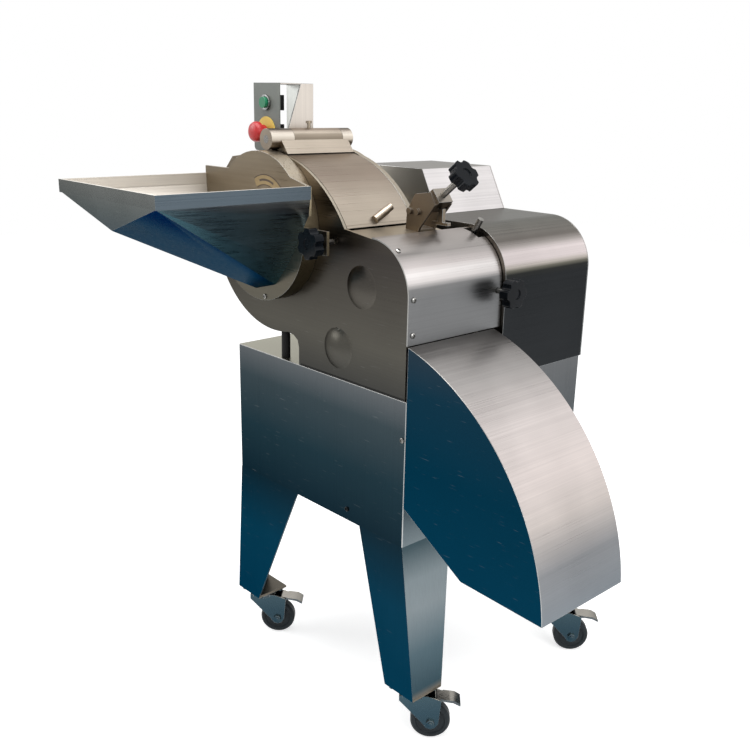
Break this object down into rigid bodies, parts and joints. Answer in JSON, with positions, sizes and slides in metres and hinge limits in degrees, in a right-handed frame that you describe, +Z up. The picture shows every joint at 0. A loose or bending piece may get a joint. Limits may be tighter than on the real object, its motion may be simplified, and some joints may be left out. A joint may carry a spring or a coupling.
{
  "type": "vegetable dicing machine",
  "caption": "Stainless drum vegetable dicer on a wheeled stand, with feed hopper on a swing door, slice gate, knife cover and curved discharge chute.",
  "frame": {"origin": "centre of the bounding box in plan, on the floor under the casters", "axes": "+Z up; -Y is the hopper side; +X is the chute side"},
  "size_m": [0.9256, 0.952, 1.261],
  "materials": {
    "stainless": "brushed stainless sheet",
    "dark_steel": "turned and ground steel",
    "blade_steel": "polished knife steel",
    "zinc_steel": "bright zinc plated",
    "wheel_rubber": "moulded polyurethane tread",
    "black_plastic": "moulded phenolic, slight gloss",
    "buffer_rubber": "matt moulded rubber",
    "belt_rubber": "matt V-belt",
    "motor_paint": "grey-blue enamel",
    "panel_paint": "grey powder coat",
    "green_plastic": "moulded plastic",
    "red_plastic": "moulded plastic",
    "collar_plastic": "moulded plastic"
  },
  "bodies": {
    "base": {"stand": "stainless", "legs": "stainless", "caster_plates": "zinc_steel", "front_plate": "stainless", "drum_casing": "stainless", "knife_holder": "stainless", "slicing_knife": "blade_steel", "hinge_rings": "stainless", "gate_pin": "dark_steel", "lock_bracket": "dark_steel", "lock_block": "stainless", "door_lugs": "stainless", "door_pin": "dark_steel", "bearings": "dark_steel", "cutter_cover": "stainless", "chute": "stainless", "gear_housing": "stainless", "belt_box": "stainless", "rear_cover": "stainless", "drive_belt": "belt_rubber", "transfer_belt": "belt_rubber", "motor": "motor_paint", "control_bracket": "stainless", "control_panel": "panel_paint", "button_collars": "collar_plastic", "cable_glands": "black_plastic", "drum_buffer": "buffer_rubber", "screws": "dark_steel"},
    "door": {"door": "stainless", "hopper": "stainless"},
    "door_knob": {"door_knob": "black_plastic"},
    "gate": {"gate": "stainless"},
    "lock_knob": {"lock_knob": "black_plastic"},
    "cover_knob": {"cover_knob": "black_plastic"},
    "impeller": {"impeller": "stainless", "impeller_shaft": "dark_steel", "driven_pulley": "dark_steel"},
    "disc_rotor": {"disc_knives": "blade_steel", "disc_spindle": "dark_steel", "spindle_gear": "dark_steel", "spindle_pulley": "dark_steel"},
    "cross_rotor": {"cross_rotor": "dark_steel", "cross_gear": "dark_steel"},
    "motor_rotor": {"motor_rotor": "dark_steel"},
    "comb": {"stripper_comb": "stainless", "comb_lever": "stainless"},
    "start_button": {"start_button": "green_plastic"},
    "estop": {"estop_button": "red_plastic"},
    "fork_fl": {"caster_fork_fl": "zinc_steel"},
    "wheel_fl": {"caster_wheel_fl": "wheel_rubber"},
    "pedal_fl": {"caster_pedal_fl": "zinc_steel"},
    "fork_fr": {"caster_fork_fr": "zinc_steel"},
    "wheel_fr": {"caster_wheel_fr": "wheel_rubber"},
    "pedal_fr": {"caster_pedal_fr": "zinc_steel"},
    "fork_rl": {"caster_fork_rl": "zinc_steel"},
    "wheel_rl": {"caster_wheel_rl": "wheel_rubber"},
    "pedal_rl": {"caster_pedal_rl": "zinc_steel"},
    "fork_rr": {"caster_fork_rr": "zinc_steel"},
    "wheel_rr": {"caster_wheel_rr": "wheel_rubber"},
    "pedal_rr": {"caster_pedal_rr": "zinc_steel"}
  },
  "joints": [
    {"name": "impeller_turn", "type": "hinge", "parent": "base", "child": "impeller", "pos_m": [-0.252, 0.06555, 0.99], "axis": [0, 1, 0], "continuous": true},
    {"name": "disc_turn", "type": "hinge", "parent": "base", "child": "disc_rotor", "pos_m": [0.015, 0.06555, 0.907], "axis": [0, 1, 0], "continuous": true},
    {"name": "cross_turn", "type": "hinge", "parent": "base", "child": "cross_rotor", "pos_m": [-0.04969, 0.06555, 0.78003], "axis": [0, 1, 0], "continuous": true},
    {"name": "motor_turn", "type": "hinge", "parent": "base", "child": "motor_rotor", "pos_m": [-0.212, 0.17755, 0.5725], "axis": [0, 1, 0], "continuous": true},
    {"name": "gate_swing", "type": "hinge", "parent": "base", "child": "gate", "pos_m": [-0.251, -0.03245, 1.156], "axis": [0, -1, 0], "range_deg": [-2.5, 2]},
    {"name": "lock_knob_turn", "type": "hinge", "parent": "base", "child": "lock_knob", "pos_m": [0.05159, 0.02855, 1.058], "axis": [0.788, 0, 0.6157], "range_deg": [-360, 360]},
    {"name": "door_swing", "type": "hinge", "parent": "base", "child": "door", "pos_m": [-0.448, -0.14145, 0.99], "axis": [0, 0, -1], "range_deg": [0, 100]},
    {"name": "door_knob_turn", "type": "hinge", "parent": "door", "child": "door_knob", "pos_m": [-0.059, -0.15845, 0.982], "axis": [0, -1, 0], "range_deg": [-360, 360]},
    {"name": "cover_knob_turn", "type": "hinge", "parent": "base", "child": "cover_knob", "pos_m": [0.164, 0.11255, 0.893], "axis": [1, 0, 0], "range_deg": [-360, 360]},
    {"name": "comb_swing", "type": "hinge", "parent": "base", "child": "comb", "pos_m": [0.015, 0.11655, 0.907], "axis": [0, -1, 0], "range_deg": [-6, 6]},
    {"name": "start_press", "type": "slide", "parent": "base", "child": "start_button", "axis": [0, 1, 0], "range_m": [0, 0.003], "stiffness_N_per_m": 400, "springref_m": -0.002},
    {"name": "estop_press", "type": "slide", "parent": "base", "child": "estop", "axis": [0, 1, 0], "range_m": [0, 0.005], "stiffness_N_per_m": 600, "springref_m": -0.003},
    {"name": "swivel_fl", "type": "hinge", "parent": "base", "child": "fork_fl", "pos_m": [-0.376, -0.07445, 0.105], "axis": [0, 0, 1], "continuous": true},
    {"name": "roll_fl", "type": "hinge", "parent": "fork_fl", "child": "wheel_fl", "pos_m": [-0.34984, -0.04829, 0.04], "axis": [-0.7071, 0.7071, 0], "continuous": true},
    {"name": "pedal_press_fl", "type": "hinge", "parent": "fork_fl", "child": "pedal_fl", "pos_m": [-0.34135, -0.0398, 0.0885], "axis": [0.7071, -0.7071, 0], "range_deg": [0, 12]},
    {"name": "swivel_fr", "type": "hinge", "parent": "base", "child": "fork_fr", "pos_m": [0.134, -0.07445, 0.105], "axis": [0, 0, 1], "continuous": true},
    {"name": "roll_fr", "type": "hinge", "parent": "fork_fr", "child": "wheel_fr", "pos_m": [0.16016, -0.04829, 0.04], "axis": [-0.7071, 0.7071, 0], "continuous": true},
    {"name": "pedal_press_fr", "type": "hinge", "parent": "fork_fr", "child": "pedal_fr", "pos_m": [0.16865, -0.0398, 0.0885], "axis": [0.7071, -0.7071, 0], "range_deg": [0, 12]},
    {"name": "swivel_rl", "type": "hinge", "parent": "base", "child": "fork_rl", "pos_m": [-0.376, 0.39755, 0.105], "axis": [0, 0, 1], "continuous": true},
    {"name": "roll_rl", "type": "hinge", "parent": "fork_rl", "child": "wheel_rl", "pos_m": [-0.34984, 0.42371, 0.04], "axis": [-0.7071, 0.7071, 0], "continuous": true},
    {"name": "pedal_press_rl", "type": "hinge", "parent": "fork_rl", "child": "pedal_rl", "pos_m": [-0.34135, 0.4322, 0.0885], "axis": [0.7071, -0.7071, 0], "range_deg": [0, 12]},
    {"name": "swivel_rr", "type": "hinge", "parent": "base", "child": "fork_rr", "pos_m": [0.134, 0.39755, 0.105], "axis": [0, 0, 1], "continuous": true},
    {"name": "roll_rr", "type": "hinge", "parent": "fork_rr", "child": "wheel_rr", "pos_m": [0.16016, 0.42371, 0.04], "axis": [-0.7071, 0.7071, 0], "continuous": true},
    {"name": "pedal_press_rr", "type": "hinge", "parent": "fork_rr", "child": "pedal_rr", "pos_m": [0.16865, 0.4322, 0.0885], "axis": [0.7071, -0.7071, 0], "range_deg": [0, 12]}
  ],
  "couplings": [
    {"joint": "disc_turn", "follows": "impeller_turn", "ratio": 2},
    {"joint": "cross_turn", "follows": "impeller_turn", "ratio": -3.5882},
    {"joint": "motor_turn", "follows": "impeller_turn", "ratio": 2.8125}
  ]
}
